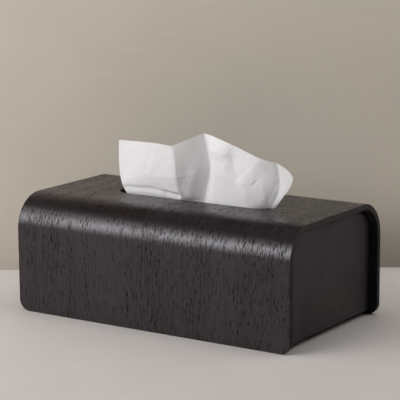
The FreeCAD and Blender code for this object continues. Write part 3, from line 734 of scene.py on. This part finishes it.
def tissue_stack():
    """The folded tissues: layers with soft edges, a flat sheet below and a draped one on top."""
    chance = random.Random(STACK_SEED)
    mesh = bmesh.new()
    rings = []
    top = STACK_HIGH[2] - STACK_RISE
    pitch = (top - STACK_LOW[2]) / STACK_LAYERS
    for layer in range(STACK_LAYERS):
        outline = stack_outline(chance)
        low = STACK_LOW[2] + layer * pitch
        for share, pull in LAYER_EDGE:
            ring = []
            for x, y in outline:
                x = STACK_MIDDLE_X + (x - STACK_MIDDLE_X) * (1 - pull / STACK_HALF_LENGTH)
                y = y * (1 - pull / STACK_HALF_WIDTH)
                ring.append(mesh.verts.new(Vector((x, y, low + share * pitch)) * MM))
            rings.append(ring)
    for low, high in zip(rings, rings[1:]):
        for i in range(len(low)):
            j = (i + 1) % len(low)
            mesh.faces.new((low[i], low[j], high[j], high[i]))
    for ring, rise in ((rings[0], 0.0), (rings[-1], 1.0)):
        cover(mesh, ring, rise)
    piece = object_from(mesh, "folded_tissues")
    smooth_shade(piece)
    piece.data.materials.append(FINISHES["tissue"])
    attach(piece, "drawer")
    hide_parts("tissue_stack")


tissue_stack()


# ---------------------------------------------------------------- the table, the wall, the light

CAMERA_PLACE = Vector((0.79332, -1.19834, 0.37988))
CAMERA_YAW, CAMERA_PITCH, CAMERA_ROLL = 33.422, 11.110, 0.373
CAMERA_LENS, CAMERA_SENSOR = 155.95, 36.0
YAW, PITCH, ROLL = (math.radians(a) for a in (CAMERA_YAW, CAMERA_PITCH, CAMERA_ROLL))
# level directions away from the camera and to its right
AWAY = Vector((-math.sin(YAW), math.cos(YAW), 0))
RIGHT = Vector((math.cos(YAW), math.sin(YAW), 0))

TABLE_REACH = 6.0
WALL_DISTANCE, WALL_HEIGHT, WALL_REACH = 0.160, 0.275, 3
# where the painted light and shade change, in mm: along RIGHT, along AWAY, and up the wall
RIGHT_PART, FAR_PART = (60, 200), (-120, 160)
# the wall's painted shade: how fast it fades up from the foot, and the heights of the painted shade
# at the right
FOOT_HEIGHT, SHADE_HEIGHTS = 45, (20, 62)
# how much paler the table's painted light makes it, and how much darker the wall's painted shade
# makes it at the foot and at the right
CORNER_PAINTED_LIGHT, FOOT_DARKER, SHADE_DARKER = 0.22, 0.27, 0.18

# name, azimuth and elevation in degrees, distance, width and height in metres, power in watts
LIGHTS = [
    ("window", -26, 25, 1.8, 1.4, 0.55, 14),
    ("window_glow", -47, 25, 1.8, 2.0, 1.2, 19),
    ("overhead", 60, 84, 1.5, 1.0, 1.0, 5.8),
    ("rear_fill", 120, 45, 1.5, 1.0, 1.0, 4.9),
]
LIT_PLACE = Vector((0, 0, 0.06))
ROOM_COLOUR = (0.94, 0.93, 0.92, 1)
ROOM_LIGHT, ROOM_SEEN = 0.03, 0.55  # how bright the room is as a light, and as the camera sees it


def painted(name, colour, rough):
    """Plain matt paint with the faintest clouding."""
    f = Finish(name)
    speckle = f.noise(f.stretched(f.x, f.y, f.z, 1.5, 1.5, 1.5), 3)
    cloud = f.noise(f.stretched(f.x, f.y, f.z, 90, 90, 90), 2)
    tone = f.ramp(speckle, 0.3, 0.7, 0.99, 1.01)
    tone = f.times(tone, f.ramp(cloud, 0.3, 0.7, 0.985, 1.015))
    f.finish(Base_Color=f.darken(colour, tone), Roughness=rough)
    return f, tone


def far_along(f, direction):
    """How far a place lies along a level direction, in mm."""
    return f.plus(f.times(f.x, direction.x), f.times(f.y, direction.y))


def to_right(f):
    """From 0 behind the case to 1 past its right end."""
    return f.ramp(far_along(f, RIGHT), *RIGHT_PART)


def corner_painted_light(f, colour, tone):
    """The table is a little paler in the corner by the wall, right of the case: painted light."""
    share = f.times(f.ramp(far_along(f, AWAY), *FAR_PART), to_right(f))
    f.finish(Base_Color=f.darken(colour, f.times(tone, f.times_plus(share, CORNER_PAINTED_LIGHT, 1.0))))


def trowelled_and_shaded(f, colour, tone):
    """A wall's faint level strokes, with painted shade darkening its foot and painted shade at its
    lower right.
    """
    stroke = f.noise(f.stretched(f.x, f.y, f.z, 70, 70, 3.2), 3, 0.6, 0.4)
    patch = f.noise(f.stretched(f.x, f.y, f.z, 120, 120, 60), 2)
    strokes = f.times(f.ramp(stroke, 0.55, 0.75, 0.0, 0.06), f.ramp(patch, 0.45, 0.6))
    # painted shade that darkens the wall towards its foot
    foot_shade = f.math("EXPONENT", f.times(f.z, -1 / FOOT_HEIGHT))
    # painted shade on the wall's lower right, beside the case
    shade = f.times(f.ramp(f.z, *SHADE_HEIGHTS, 1.0, 0.0), to_right(f))
    tone = f.times(f.plus(tone, strokes), f.times_plus(foot_shade, -FOOT_DARKER, 1.0))
    tone = f.times(tone, f.times_plus(shade, -SHADE_DARKER, 1.0))
    f.finish(Base_Color=f.darken(colour, tone))


def one_sided(f):
    """A wall that can be looked through from behind, so that it never hides the object."""
    behind = f.node("ShaderNodeNewGeometry").outputs["Backfacing"]
    f.blend(f.node("ShaderNodeBsdfTransparent"), behind)


def plane(name, corners, material):
    """A flat four-sided piece of the set, which isn't part of the object."""
    data = bpy.data.meshes.new(name)
    data.from_pydata([Vector(c) for c in corners], [], [(0, 1, 2, 3)])
    made = bpy.data.objects.new(name, data)
    bpy.context.scene.collection.objects.link(made)
    data.materials.append(material)


def table_and_wall():
    table, tone = painted("table_paint", TABLE_PAINT, 0.6)
    corner_painted_light(table, TABLE_PAINT, tone)
    signs = ((-1, -1), (1, -1), (1, 1), (-1, 1))
    plane("table", [(x * TABLE_REACH, y * TABLE_REACH, 0) for x, y in signs], table.material)
    wall, tone = painted("wall_paint", WALL_PAINT, 0.8)
    trowelled_and_shaded(wall, WALL_PAINT, tone)
    one_sided(wall)
    foot, up = AWAY * WALL_DISTANCE, Vector((0, 0, WALL_HEIGHT))
    left, right = foot - RIGHT * WALL_REACH, foot + RIGHT * WALL_REACH
    # its front side faces the camera
    plane("wall", [left, right, right + up, left + up], wall.material)


def area_light(name, azimuth, elevation, distance, width, height, power):
    """A soft box that looks at the case. Azimuth 0 is straight in front and 90 is to the right."""
    a, e = math.radians(azimuth), math.radians(elevation)
    towards = Vector((math.sin(a) * math.cos(e), -math.cos(a) * math.cos(e), math.sin(e)))
    lamp = bpy.data.lights.new(name, "AREA")
    lamp.shape = "RECTANGLE"
    lamp.size, lamp.size_y = width, height
    lamp.energy = power
    made = bpy.data.objects.new(name, lamp)
    made.location = LIT_PLACE + towards * distance
    made.rotation_mode = "QUATERNION"
    made.rotation_quaternion = (-towards).to_track_quat("-Z", "Y")
    bpy.context.scene.collection.objects.link(made)


def lights():
    for light in LIGHTS:
        area_light(*light)
    world = bpy.data.worlds.new("room")
    world.use_nodes = True
    nodes, links = world.node_tree.nodes, world.node_tree.links
    background = nodes["Background"]
    background.inputs["Color"].default_value = ROOM_COLOUR
    path = nodes.new("ShaderNodeLightPath")
    level = nodes.new("ShaderNodeMapRange")
    level.inputs["To Min"].default_value = ROOM_LIGHT
    level.inputs["To Max"].default_value = ROOM_SEEN
    links.new(path.outputs["Is Camera Ray"], level.inputs["Value"])
    links.new(level.outputs["Result"], background.inputs["Strength"])
    bpy.context.scene.world = world


def camera():
    """The camera fitted to the photo."""
    ahead = AWAY * math.cos(PITCH) - Vector((0, 0, math.sin(PITCH)))
    level_down = ahead.cross(RIGHT)
    right = math.cos(ROLL) * RIGHT + math.sin(ROLL) * level_down
    down = math.cos(ROLL) * level_down - math.sin(ROLL) * RIGHT
    data = bpy.data.cameras.new("camera")
    data.lens, data.sensor_width = CAMERA_LENS, CAMERA_SENSOR
    made = bpy.data.objects.new("camera", data)
    turn = Matrix((right, -down, -ahead)).transposed().to_4x4()
    made.matrix_world = Matrix.Translation(CAMERA_PLACE) @ turn
    bpy.context.scene.collection.objects.link(made)
    bpy.context.scene.camera = made


table_and_wall()
lights()
camera()
bpy.context.scene.view_settings.view_transform = "Standard"
